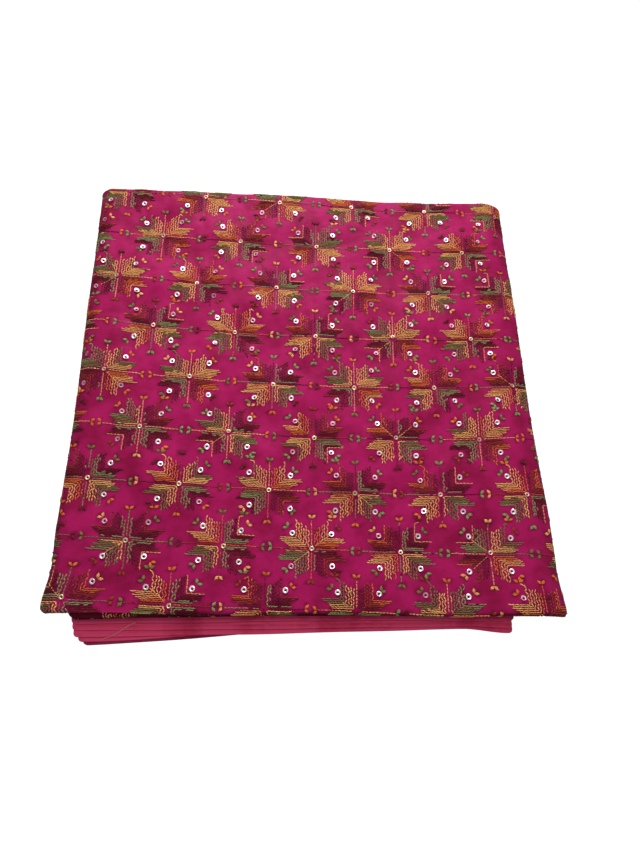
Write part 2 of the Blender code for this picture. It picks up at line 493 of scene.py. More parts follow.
@dataclass(frozen=True)
class LeafForm:
    """A folded leaf: an upper and a lower ply joined by an edge rolled all round.

    The four sides are distances from the bundle's middle, corners the radii in the order
    front_right, back_right, back_left, front_left, and middle the height of its mid-plane.
    """

    left: float
    right: float
    front: float
    back: float
    half: float
    middle: float
    corners: tuple[float, float, float, float]
    upside_down: bool = False

    @property
    def flat_half(self) -> tuple[float, float]:
        """Half the flat width and depth of the upper ply, up to where the edge starts to roll."""
        return (self.left + self.right) / 2 - self.half, (self.front + self.back) / 2 - self.half

    @property
    def roll(self) -> float:
        """The length of cloth round the rolled edge."""
        return math.pi * self.half

    def over(self, u: np.ndarray, v: np.ndarray) -> np.ndarray:
        """How far a flat point lies past the start of the rolled edge."""
        half_x, half_y = self.flat_half
        return np.maximum(np.abs(u) - half_x, np.abs(v) - half_y)

    def warp(self, x: np.ndarray, y: np.ndarray, z: np.ndarray) -> tuple:
        """Moves the plain leaf's points into its real shape."""
        return x, y, z

    def lay(self, u: np.ndarray, v: np.ndarray) -> np.ndarray:
        """Where flat points of the cloth lie on the folded leaf, from the bundle's middle.

        Args:
            u: flat positions across.
            v: flat positions along.

        Returns:
            One row of x, y and z for each point.
        """
        half_x, half_y = self.flat_half
        over = self.over(u, v)
        angle = np.clip(over / self.half, 0, math.pi)
        inset = np.where(
            over < 0,
            self.half - over,
            self.half * (1 - np.sin(angle)) + np.maximum(over - self.roll, 0),
        )
        side_x, side_y = half_x + self.half - inset, half_y + self.half - inset
        x = u / np.maximum(half_x + over, 1e-6) * side_x
        y = v / np.maximum(half_y + over, 1e-6) * side_y
        front_right, back_right, back_left, front_left = self.corners
        radius = np.where(
            v < 0,
            np.where(u > 0, front_right, front_left),
            np.where(u > 0, back_right, back_left),
        )
        radius = np.maximum(radius - inset, 0)
        to_x, to_y = side_x - np.abs(x), side_y - np.abs(y)
        rounded = (radius > 0) & (to_x < radius) & (to_y < radius)
        turn = (radius - to_y + to_x) / np.maximum(2 * radius, 1e-9) * math.pi / 2
        x = np.where(rounded, np.sign(x) * (side_x - radius + radius * np.cos(turn)), x)
        y = np.where(rounded, np.sign(y) * (side_y - radius + radius * np.sin(turn)), y)
        z = self.half * np.cos(angle) * (-1 if self.upside_down else 1) + self.middle
        x = x + (self.right - self.left) / 2
        y = y + (self.back - self.front) / 2
        return np.stack(self.warp(x, y, z), axis=-1)

    def facing(self, u: np.ndarray, v: np.ndarray) -> np.ndarray:
        """The outward direction of the cloth at flat points."""
        step = FACING_STEP
        across = self.lay(u + step, v) - self.lay(u - step, v)
        along = self.lay(u, v + step) - self.lay(u, v - step)
        normal = np.cross(across, along) * (-1 if self.upside_down else 1)
        return normal / np.maximum(np.linalg.norm(normal, axis=-1, keepdims=True), 1e-12)


@dataclass(frozen=True)
class OuterLeafForm(LeafForm):
    """The outermost leaf: it sinks a little in its middle and droops where it overhangs."""

    sink: float = 1.6 * MM
    sink_pace: float = 1.6
    flare_left: float = 4.8 * MM
    flare_right: float = 3.8 * MM
    spread: float = 4.2 * MM
    spread_from: float = 60 * MM
    spread_over: float = 180 * MM
    front_out: float = 0.9 * MM
    front_slope: float = 0.0225
    back_bay: float = 3.2 * MM
    back_bay_place: float = 82 * MM
    back_bay_width: float = 62 * MM
    back_bay_reach: float = 70 * MM
    flare_reach: float = 34 * MM
    rim_reach: float = 30 * MM
    rim_wave: float = 0.7 * MM
    rim_wave_length: float = 31 * MM
    front_reach: float = 26 * MM
    front_wave: float = 0.5 * MM
    front_wave_length: float = 23 * MM
    overhang_left: float = 10 * MM
    overhang_right: float = 19 * MM
    droop_left: float = 4.5 * MM
    droop_right: float = 6.5 * MM
    corner_droop: float = 3 * MM
    corner_reach: float = 60 * MM
    # How much of a crease the lower ply keeps, and how soon the overhang starts to fall.
    crease_below: float = 0.35
    fall_pace: float = 0.62
    creases: tuple[Crease, ...] = ()

    def warp(self, x: np.ndarray, y: np.ndarray, z: np.ndarray) -> tuple:
        """Sinks, droops, flares and creases the leaf."""
        half_x, half_y = self.right, self.back
        upper = smooth((z - self.middle) / self.half)
        along = np.maximum(1 - (x / half_x) ** 2, 0)
        across = np.maximum(1 - (y / half_y) ** 2, 0)
        pace = self.sink_pace
        z = z - upper * self.sink * smooth(pace * along) * smooth(pace * across)
        is_left = x < 0
        overhang = np.where(is_left, self.overhang_left, self.overhang_right)
        past = (np.abs(x) - half_x + overhang) / overhang
        near_corner = smooth(1 - (y + half_y) / self.corner_reach)
        fall = np.where(is_left, self.droop_left, self.droop_right) + self.corner_droop * near_corner
        z = z - fall * smooth(past * self.fall_pace) / smooth(self.fall_pace)
        for crease in self.creases:
            z = z + (self.crease_below + (1 - self.crease_below) * upper) * crease.height(x, y)
        z = z + upper * ripple(x, y)
        near_front = smooth(1 - (y + half_y) / self.flare_reach)
        near_side = smooth((np.abs(x) - half_x) / (3 * self.flare_reach) + 1)
        flare = np.where(is_left, self.flare_left, self.flare_right)
        rim = smooth(1 - (half_x - np.abs(x)) / self.rim_reach)
        widen = self.spread * smooth((self.spread_from - y) / self.spread_over)
        wave = rim * self.rim_wave * np.sin(y / self.rim_wave_length)
        outward = (flare * near_front + widen) * near_side + wave
        x = x + np.sign(x) * outward
        front = smooth(1 - (y + half_y) / self.front_reach)
        y = y + front * self.front_wave * np.sin(x / self.front_wave_length + 1)
        skew = (self.front_out + self.front_slope * x) * smooth(-y / half_y)
        bay = self.back_bay * np.exp(-(((x - self.back_bay_place) / self.back_bay_width) ** 2))
        y = y - skew - bay * smooth(1 - (half_y - y) / self.back_bay_reach)
        return x, y, z


# Where a fold's edges start to wander and how soon they do so fully, as shares of half its side.
WANDER_FROM = 0.55
WANDER_REACH = 0.35
# The longer and shorter wave of the wandering, across and along, how the shorter ones turn with
# the fold's phase, and how high they are next to the longer ones.
WANDER_LENGTHS = ((37 * MM, 14 * MM), (41 * MM, 17 * MM))
WANDER_TURNS = (2.1, 1.7)
SHORT_WAVE = 0.6


@dataclass(frozen=True)
class StackFoldForm(LeafForm):
    """A fold in the stack below: level, with a slightly wandering and maybe slanting edge."""

    slant: float = 0.0
    slant_start: float = -0.75
    slant_end: float = 0.75
    curl: float = 0.0
    curl_from: float = 105 * MM
    curl_over: float = 34 * MM
    bead: float = 1.7 * MM
    bead_end: float = 1.6 * MM
    hollow: float = 0.0
    wander: float = 0.3 * MM
    phase: float = 0.0

    def warp(self, x: np.ndarray, y: np.ndarray, z: np.ndarray) -> tuple:
        """Leaves a plump bead along the front edge, slants it and lets all edges wander."""
        behind = smooth((self.front - self.bead + y) / self.bead_end) * smooth(-y / (0.5 * self.front))
        bottom = self.middle - self.half
        z = bottom + (z - bottom) * (1 - self.hollow * behind)
        half = BUNDLE_SIDE / 2
        run = smooth((x / half - self.slant_start) / (self.slant_end - self.slant_start))
        curl = self.curl * smooth((x - self.curl_from) / self.curl_over)
        y = y + (self.slant * run - curl) * smooth(-y / half)
        start, reach = half * WANDER_FROM, half * WANDER_REACH
        near_x, near_y = (smooth((np.abs(side) - start) / reach) for side in (x, y))
        (long_x, short_x), (long_y, short_y) = WANDER_LENGTHS
        turn_x, turn_y = WANDER_TURNS
        wave_x = np.sin(x / long_x + self.phase)
        wave_x = wave_x + SHORT_WAVE * np.sin(x / short_x + turn_x * self.phase)
        wave_y = np.sin(y / long_y - self.phase)
        wave_y = wave_y + SHORT_WAVE * np.sin(y / short_y + turn_y * self.phase)
        y = y + np.sign(y) * near_y * self.wander * wave_x
        x = x + np.sign(x) * near_x * self.wander * wave_y
        return x, y, z


# The ripple's wave lengths in millimetres, and each wave's height as a share of its length.
RIPPLE_LENGTHS = (9, 12, 15, 21, 28, 37, 52, 70)
RIPPLE_SLOPE = 0.0058
RIPPLE_SEED = 11
# How closely the grid lines of a cloth lie by its edge and under it, and how many go round it.
EDGE_STEP = 1.6 * MM
UNDER_STEP = 5 * MM
ROUND_STEPS = 9
# How far in from the roll a whole ply's grid is fine.
FINE_REACH = 6 * MM


def ripple(x: np.ndarray, y: np.ndarray) -> np.ndarray:
    """The satin's slight unevenness between stitches: a few crossing waves of uneven length."""
    rng = np.random.default_rng(RIPPLE_SEED)
    total = np.zeros_like(x)
    for length in RIPPLE_LENGTHS:
        for _ in range(2):
            heading = rng.uniform(0, math.pi)
            phase = rng.uniform(0, 2 * math.pi)
            along = x * math.cos(heading) + y * math.sin(heading)
            wave = np.sin(2 * math.pi * along / (length * MM) + phase)
            total = total + RIPPLE_SLOPE * length * MM * wave
    return total


def spaced(half_flat: float, form: LeafForm, reach: float, tuck: float, step: float) -> np.ndarray:
    """Grid lines across the flat cloth: fine round the rolled edge and coarser elsewhere.

    Args:
        half_flat: half the flat size of the full ply in this direction.
        form: the leaf.
        reach: how far in from the roll the even spacing ends and the finer one starts.
        tuck: how far the far ply goes in.
        step: the even spacing.

    Returns:
        Ascending positions, the same on both sides of the middle.
    """
    inner = half_flat - reach
    count = max(int(round(2 * inner / step)), 2)
    middle = np.linspace(-inner, inner, count + 1)
    near = inner + reach * np.linspace(0, 1, max(int(reach / EDGE_STEP), 2) + 1)[1:]
    round_edge = half_flat + form.roll * np.linspace(0, 1, ROUND_STEPS)[1:]
    under = half_flat + form.roll + tuck * np.linspace(0, 1, max(int(tuck / UNDER_STEP), 2) + 1)[1:]
    side = np.concatenate([near, round_edge, under])
    return np.concatenate([-side[::-1], middle, side])


def cloth_mesh(
    name: str,
    form: LeafForm,
    origin: Vector,
    tuck: float,
    step: float,
    wall: float,
    open_middle: float | None = None,
) -> bpy.types.Object:
    """A leaf's cloth as a thin shell with its flat coordinates as its UV map.

    Args:
        name: the piece's name.
        form: the leaf.
        origin: the bundle's middle.
        tuck: how far the far ply goes in from the edge.
        step: the grid's spacing away from the edges.
        wall: the cloth's thickness.
        open_middle: how far in from the edge the near ply is kept, or None for all of it.

    Returns:
        The cloth.
    """
    half_x, half_y = form.flat_half
    reach = FINE_REACH if open_middle is None else open_middle
    across = spaced(half_x, form, reach, tuck, step)
    along = spaced(half_y, form, reach, tuck, step)
    u, v = np.meshgrid(across, along)
    points = form.lay(u.ravel(), v.ravel()) + np.array(origin)
    columns = len(across)
    rows = len(along)
    row, column = np.mgrid[0 : rows - 1, 0 : columns - 1]
    first = (row * columns + column).ravel()
    quads = np.stack([first, first + 1, first + 1 + columns, first + columns], axis=1)
    if open_middle is not None:
        centre_u = u.ravel()[quads].mean(axis=1)
        centre_v = v.ravel()[quads].mean(axis=1)
        quads = quads[form.over(centre_u, centre_v) > -open_middle]
    if form.upside_down:
        quads = quads[:, ::-1]
    used = np.unique(quads)
    renumber = np.full(len(points), -1)
    renumber[used] = np.arange(len(used))
    mesh = new_mesh(name, points[used].tolist(), renumber[quads].tolist())
    layer = mesh.uv_layers.new(name="cloth")
    corner = quads.ravel()
    flat = np.stack([u.ravel()[corner], v.ravel()[corner]], axis=1)
    layer.data.foreach_set("uv", flat.ravel())
    cloth = new_object(name, mesh)
    shell = cloth.modifiers.new("wall", "SOLIDIFY")
    shell.thickness = wall
    shell.offset = -1
    return settle(cloth)


@dataclass(frozen=True)
class PaintedStitchShade:
    """Painted shade on cloth between its stitches: a smoothed count of thread over cells.

    bare and close are thread lengths per area, where the painted shade starts and where it is
    darkest, and most is its share of the shade colour there.
    """

    cell: float = 1.3 * MM
    margin: float = 40 * MM
    bare: float = 0.3 / MM
    close: float = 0.75 / MM
    most: float = 0.75


def paint_stitch_shade(cloth: bpy.types.Object, start: np.ndarray, end: np.ndarray, lattice: "Lattice") -> None:
    """Stores how closely each point of a cloth is stitched, as its share of painted shade.

    Args:
        cloth: the cloth, with its flat coordinates as its UV map.
        start: where each stitch starts.
        end: where it ends.
        lattice: the lattice that the stitches are laid out on.
    """
    mesh = cloth.data
    flat = np.empty(2 * len(mesh.loops))
    mesh.uv_layers["cloth"].data.foreach_get("uv", flat)
    corner = np.empty(len(mesh.loops), dtype=np.int32)
    mesh.loops.foreach_get("vertex_index", corner)
    spots = np.zeros((len(mesh.vertices), 2))
    spots[corner] = flat.reshape(-1, 2)
    shade = PaintedStitchShade()
    side = BUNDLE_SIDE / 2 + shade.margin
    count = int(2 * side / shade.cell)
    middle = (start + end) / 2
    u, v = lattice.on_cloth(middle[:, 0], middle[:, 1])
    length = np.hypot(*(end - start).T)
    reach = [[-side, side], [-side, side]]
    sewn = np.histogram2d(u, v, bins=count, range=reach, weights=length)[0]
    sewn = sewn / shade.cell**2
    for _ in range(2):
        sewn = sum(np.roll(sewn, turn, axis) for turn in (-1, 0, 1) for axis in (0, 1)) / 6
    place = np.clip(((spots + side) / (2 * side) * count).astype(int), 0, count - 1)
    closeness = (sewn[place[:, 0], place[:, 1]] - shade.bare) / (shade.close - shade.bare)
    # The share of painted shade between the stitches, stored on the cloth for its satin.
    share = np.clip(closeness, 0, 1) * shade.most
    layer = mesh.attributes.new("worked", "FLOAT", "POINT")
    layer.data.foreach_set("value", share.astype(np.float32))


def settle(piece: bpy.types.Object) -> bpy.types.Object:
    """Makes a piece's modifiers part of its mesh."""
    evaluated = piece.evaluated_get(bpy.context.evaluated_depsgraph_get())
    mesh = bpy.data.meshes.new_from_object(evaluated)
    old = piece.data
    piece.modifiers.clear()
    piece.data = mesh
    bpy.data.meshes.remove(old)
    mesh.name = piece.name
    return piece


# ---------------------------------------------------------------- embroidery


@dataclass(frozen=True)
class Lattice:
    """Where the stars stand on the flat cloth: staggered rows, a little off the folds' grain."""

    across: float = 61.3 * MM
    along: float = 40.9 * MM
    turn: float = math.radians(-1.7)
    shift_x: float = 3.1 * MM
    shift_y: float = -2.6 * MM
    bow: float = 5.5 * MM
    bow_along: float = 185 * MM
    bow_across: float = 150 * MM
    bow_level: float = 0.4
    rows: int = 6
    columns: int = 4

    def centres(self) -> list[tuple[int, int, float, float]]:
        """Row, column and flat position of every star."""
        found = []
        for row in range(-self.rows, self.rows + 1):
            offset = 0.5 if row % 2 == 0 else 0.0
            for column in range(-self.columns, self.columns + 1):
                found.append((row, column, (column + offset) * self.across, row * self.along))
        return found

    def on_cloth(self, x: np.ndarray, y: np.ndarray) -> tuple[np.ndarray, np.ndarray]:
        """Lattice positions as flat cloth coordinates, with the weave's bow."""
        x = x + self.shift_x
        y = y + self.shift_y
        c, s = math.cos(self.turn), math.sin(self.turn)
        u, v = x * c - y * s, x * s + y * c
        bow = self.bow * np.cos(np.clip(v / self.bow_along, -1, 1) * math.pi / 2)
        return u, v + bow * ((u / self.bow_across) ** 2 - self.bow_level)


@dataclass(frozen=True)
class StarMotif:
    """One star: nested corner lines in four quarters, stems that end in two leaves, sequins.

    Sizes are shares of the pitch across.
    """

    pitch: float
    lines: int = 6
    corner_in: tuple[float, float] = (0.035, 0.026)
    corner_out: tuple[float, float] = (0.172, 0.124)
    reach_in: tuple[float, float] = (0.27, 0.24)
    reach_out: tuple[float, float] = (0.368, 0.318)
    sequin: tuple[float, float] = (0.228, 0.19)
    leaf: float = 3.75 * MM
    # Where the stem to a sequin starts and ends, and where a straight stem starts.
    diagonal_span: tuple[float, float] = (0.15, 0.86)
    stem_start: float = 0.12
    stem_out: tuple[float, float] = (0.43, 0.335)

    def quarter(self, flip_x: int, flip_y: int, hook: bool) -> list[np.ndarray]:
        """The nested corner lines of one quarter, outermost first."""
        made = []
        for line in range(self.lines - 1, -1, -1):
            share = line / (self.lines - 1)
            corner = [i + (o - i) * share for i, o in zip(self.corner_in, self.corner_out)]
            reach = [i + (o - i) * share for i, o in zip(self.reach_in, self.reach_out)]
            path = [(reach[0], corner[1]), (corner[0], corner[1]), (corner[0], reach[1])]
            if hook and line == self.lines - 1:
                path[-1:] = [(corner[0] + 0.012, 0.335), (corner[0] + 0.06, 0.34)]
            made.append(np.array(path) * self.pitch * (flip_x, flip_y))
        return made

    def diagonal(self, flip_x: int, flip_y: int) -> np.ndarray:
        """A thin stem from the middle out to one quarter's sequin."""
        x, y = self.sequin
        ends = [(share * x, share * y) for share in self.diagonal_span]
        return np.array(ends) * self.pitch * (flip_x, flip_y)

    def stems(self) -> list[np.ndarray]:
        """The four straight stems."""
        across, along = self.stem_out
        ends = ((0.0, along), (across, 0.0), (0.0, -along), (-across, 0.0))
        start = self.stem_start
        return [np.array([(start * x, start * y), (x, y)]) * self.pitch for x, y in ends]

    def sprouts(self, hook_x: int) -> list[tuple[float, float, float, float]]:
        """Base, heading and spread of each pair of leaves."""
        made = [(0.0, 0.345, 90, 44), (0.44, 0.0, 0, 52), (0.0, -0.345, -90, 44), (-0.44, 0.0, 180, 52)]
        for flip_x, flip_y in QUARTERS:
            heading = math.degrees(math.atan2(flip_y, flip_x))
            made.append((0.275 * flip_x, 0.232 * flip_y, heading, 45))
        made.append((0.24 * hook_x, 0.365, 90, 62))
        return [(x * self.pitch, y * self.pitch, math.radians(h), math.radians(s)) for x, y, h, s in made]

    def sequins(self) -> np.ndarray:
        """Where the five sequins are sewn."""
        x, y = self.sequin
        return np.array([(0, 0), (x, y), (x, -y), (-x, -y), (-x, y)]) * self.pitch


@dataclass
class Stitches:
    """Stitches gathered on the flat cloth: both ends, the place in the dye cycle and width."""

    start: list
    end: list
    dye: list
    width: list

    @staticmethod
    def none() -> "Stitches":
        """An empty gathering."""
        return Stitches([], [], [], [])

    def add(self, start: np.ndarray, end: np.ndarray, dye: np.ndarray, width: float) -> None:
        """Adds one row of stitches."""
        self.start.append(start)
        self.end.append(end)
        self.dye.append(dye)
        self.width.append(np.full(len(start), width))

    def arrays(self) -> tuple[np.ndarray, np.ndarray, np.ndarray, np.ndarray]:
        """Everything gathered, as arrays."""
        return (
            np.concatenate(self.start),
            np.concatenate(self.end),
            np.concatenate(self.dye),
            np.concatenate(self.width),
        )


# A leaf's stitches: which one, and where it starts and ends as shares of the leaf's length.
LEAF_STITCHES = ((-2, 0.28, 0.74), (-1, 0.1, 0.93), (0, 0.0, 1.0), (1, 0.1, 0.93), (2, 0.28, 0.72))
LEAF_STITCH_GAP = 0.42 * MM


@dataclass
class Embroiderer:
    """Sews the stars over the flat lattice."""

    lattice: Lattice
    motif: StarMotif
    stitch: float = 2.3 * MM
    thread: float = 0.8 * MM
    sway: float = 0.5 * MM
    lean: float = 0.24 * MM
    combed_thread: float = 0.64 * MM
    ragged: float = 0.9 * MM
    cycle: float = 560 * MM
    dull_share: float = 0.32
    diagonal_share: float = 0.12
    outlined_share: float = 0.7
    # The widths of the thinner threads, and how far their stitches sway.
    diagonal_thread: float = 0.5 * MM
    stem_thread: float = 0.62 * MM
    leaf_thread: float = 0.74 * MM
    tie_thread: float = 1.0 * MM
    diagonal_sway: float = 0.1 * MM
    stem_sway: float = 0.12 * MM
    outline_sway: float = 0.15 * MM
    # How far leaves and sequins stray from their places, and half of a sequin's tie.
    leaf_stray: float = 0.35 * MM
    sequin_stray: float = 0.7 * MM
    half_tie: float = 0.55 * MM
    # How unevenly a row's knots lie, and how far a combed stitch runs past the next one.
    knot_stray: float = 0.09 * MM
    comb_stray: float = 0.1 * MM
    comb_reach: float = 0.16
    dye_stray: float = 0.018
    # How far stitches swing and leaves grow, as shares of the usual, from least to most.
    swing_range: tuple[float, float] = (0.4, 1.5)
    leaf_range: tuple[float, float] = (0.9, 1.12)
    # Where a star starts in the dye cycle: its random part, and its part by column and row.
    dye_parts: tuple[float, float, float] = (0.35, 0.37, 0.61)
    # Where a dark quarter starts in the cycle, from the middle of maroon.
    dark_start: tuple[float, float] = (-0.1, 0.02)
    # The most of the quarters that are dark, their share in the middle, and how it grows to the
    # front and to the left. The dark quarters are real; their growth to the front left partly paints
    # the shade that lies there.
    darkest: float = 0.36
    dark_slopes: tuple[float, float, float] = (0.12, 0.8, 0.25)
    seed: int = 5

    def dark_share(self, x: float, y: float) -> float:
        """The share of quarters sewn in the darkest skeins: most at the front left, partly as painted
        shade.
        """
        side = BUNDLE_SIDE / 2
        middle, front, left = self.dark_slopes
        return float(self.darkest * smooth(middle - front * y / side - left * x / side))

    def sew(self) -> tuple[Stitches, np.ndarray]:
        """All stitches and sequins on the flat cloth.

        Returns:
            The stitches, and one row for each sequin.
        """
        rng = np.random.default_rng(self.seed)
        sewn = Stitches.none()
        sequins = []
        for row, column, x, y in self.lattice.centres():
            place = np.array((x, y))
            hook_x = 1 if row % 2 else -1
            spread, by_column, by_row = self.dye_parts
            dye = rng.uniform(0, 1) * spread + by_column * column + by_row * row
            for flip_x, flip_y in QUARTERS:
                if rng.uniform() < self.dark_share(x, y):
                    dye = dye_of(Skein.MAROON) + rng.uniform(*self.dark_start)
                hook = flip_y == 1 and flip_x == hook_x
                if rng.uniform() < self.diagonal_share:
                    path = self.motif.diagonal(flip_x, flip_y) + place
                    pale = dye_of(Skein.PEACH)
                    self.run(sewn, path, pale, rng, self.diagonal_sway, self.diagonal_thread)
                for line, path in enumerate(self.motif.quarter(flip_x, flip_y, hook)):
                    dark = skein_of(np.array([dye]))[0] >= len(Skein) - 2
                    if line == 0 and dark and rng.uniform() < self.outlined_share:
                        # A dark quarter is often outlined with one light corner line.
                        light = dye_of(Skein.PEACH)
                        thread = self.combed_thread
                        self.run(sewn, path + place, light, rng, self.outline_sway, thread)
                        continue
                    # Along the cloth neighbouring lines sway in opposite ways and look plaited.
                    # Across it every stitch leans the same way and they look combed.
                    sway = self.sway * (1 if line % 2 else -1)
                    lean = self.lean * flip_x
                    path[0, 0] += rng.normal(0, self.ragged)
                    path[-1, 1] += rng.normal(0, self.ragged)
                    dye = self.run(sewn, path[:2] + place, dye, rng, lean, self.combed_thread, True)
                    dye = self.run(sewn, path[1:] + place, dye, rng, sway)
            for path in self.motif.stems():
                dye = self.run(sewn, path + place, dye, rng, self.stem_sway, self.stem_thread)
            for base_x, base_y, heading, spread in self.motif.sprouts(hook_x):
                shade = LEAF_SHADES[int(rng.integers(len(LEAF_SHADES)))]
                base = place + np.array((base_x, base_y)) + rng.normal(0, self.leaf_stray, 2)
                for side in (-1, 1):
                    self.leaf(sewn, base, heading + side * spread, dye_of(shade), rng)
            spots = self.motif.sequins() + place + rng.normal(0, self.sequin_stray, (5, 2))
            kinds = np.where(rng.uniform(0, 1, 5) < self.dull_share, 1, 0)
            kinds[0] = 2
            sequins.append(np.column_stack([spots, kinds]))
            # The stitch that holds each sequin: real thread, in the darkest plum so that it also paints
            # the shade in the sequin's hole.
            tie = np.array((self.half_tie, 0.0))
            sewn.add(spots - tie, spots + tie, np.full(5, dye_of(Skein.PLUM)), self.tie_thread)
        return sewn, np.concatenate(sequins)

    def run(
        self,
        sewn: Stitches,
        path: np.ndarray,
        dye: float,
        rng: np.random.Generator,
        sway: float,
        thread: float | None = None,
        comb: bool = False,
    ) -> float:
        """Running stitches along one path, each swaying to the other side of it.

        Args:
            sewn: where the stitches are gathered.
            path: the corners of the path.
            dye: where in the dye cycle the thread starts.
            rng: the source of unevenness.
            sway: how far the stitches sway aside.
            thread: the thread's width, if not the usual one.
            comb: whether every stitch leans the same way, past the start of the next.

        Returns:
            Where in the dye cycle the thread ends.
        """
        for start, end in zip(path[:-1], path[1:]):
            length = float(np.hypot(*(end - start)))
            count = max(int(round(length / self.stitch)), 1)
            share = np.linspace(0, 1, count + 1)[:, None]
            aside = np.array((start[1] - end[1], end[0] - start[0])) / length
            swing = np.where(np.arange(count + 1) % 2, 1.0, -1.0)[:, None] * sway
            swing = swing * rng.uniform(*self.swing_range, (count + 1, 1))
            knots = start + (end - start) * share + aside * swing
            knots = knots + rng.normal(0, self.knot_stray, knots.shape)
            dyes = dye + np.linspace(0, length / self.cycle, count + 1)[:-1]
            dyes = dyes + rng.normal(0, self.dye_stray, count)
            first, last = knots[:-1], knots[1:]
            if comb:
                plain = start + (end - start) * share
                reach = (plain[1:] - plain[:-1]) * self.comb_reach
                first = plain[:-1] - aside * sway - reach
                last = plain[1:] + aside * sway + reach
                first = first + rng.normal(0, self.comb_stray, first.shape)
                last = last + rng.normal(0, self.comb_stray, last.shape)
            sewn.add(first, last, dyes, thread or self.thread)
            dye += length / self.cycle
        return dye

    def leaf(
        self, sewn: Stitches, base: np.ndarray, heading: float, dye: float, rng: np.random.Generator
    ) -> None:
        """One small plump leaf: five satin stitches side by side, the middle ones longest."""
        out = np.array((math.cos(heading), math.sin(heading)))
        aside = np.array((-out[1], out[0]))
        length = self.motif.leaf * rng.uniform(*self.leaf_range)
        starts, ends = [], []
        for place, first, last in LEAF_STITCHES:
            bow = aside * place * LEAF_STITCH_GAP
            starts.append(base + out * length * first + bow * 0.8)
            ends.append(base + out * length * last + bow * 0.7)
        dyes = np.full(len(LEAF_STITCHES), dye)
        sewn.add(np.array(starts), np.array(ends), dyes, self.leaf_thread)


def unit_grain() -> bpy.types.Object:
    """A stitch of length, width and height one: a plump grain that dives in at both ends."""
    tip, depth = 0.53, -0.42
    body, half_width, half_height = 0.3, 0.575, 0.625
    points = [(-tip, 0.0, depth)]
    for x in (-body, body):
        for step in range(4):
            angle = math.pi / 2 * step + math.pi / 4
            points.append((x, half_width * math.cos(angle), half_height * math.sin(angle)))
    points.append((tip, 0.0, depth))
    faces = []
    for step in range(4):
        after = (step + 1) % 4
        faces.append((0, 1 + after, 1 + step))
        faces.append((1 + step, 1 + after, 5 + after, 5 + step))
        faces.append((9, 5 + step, 5 + after))
    return bpy.data.objects.new("grain", new_mesh("grain", points, faces))


def rings_joined(count: int, sides: int, closed: bool) -> list[tuple[int, int, int, int]]:
    """The faces between rings of points.

    Args:
        count: how many rings there are.
        sides: how many points each has.
        closed: whether the last ring is joined to the first.

    Returns:
        The corners of each face.
    """
    faces = []
    for ring in range(count if closed else count - 1):
        low, high = ring * sides, (ring + 1) % count * sides
        for step in range(sides):
            after = (step + 1) % sides
            faces.append((low + step, high + step, high + after, low + after))
    return faces


def unit_sequin() -> bpy.types.Object:
    """A cup sequin of outer radius one: a dished ring with a hole."""
    profile = ((0.44, 0.10), (0.70, 0.02), (1.0, 0.26), (0.97, 0.19), (0.68, -0.08), (0.44, 0.02))
    sides = 12
    points = []
    for radius, height in profile:
        for step in range(sides):
            angle = 2 * math.pi * step / sides
            points.append((radius * math.cos(angle), radius * math.sin(angle), height))
    faces = rings_joined(len(profile), sides, True)
    return bpy.data.objects.new("cup", new_mesh("cup", points, faces))


POINT_VECTORS = ("along", "lift", "size")


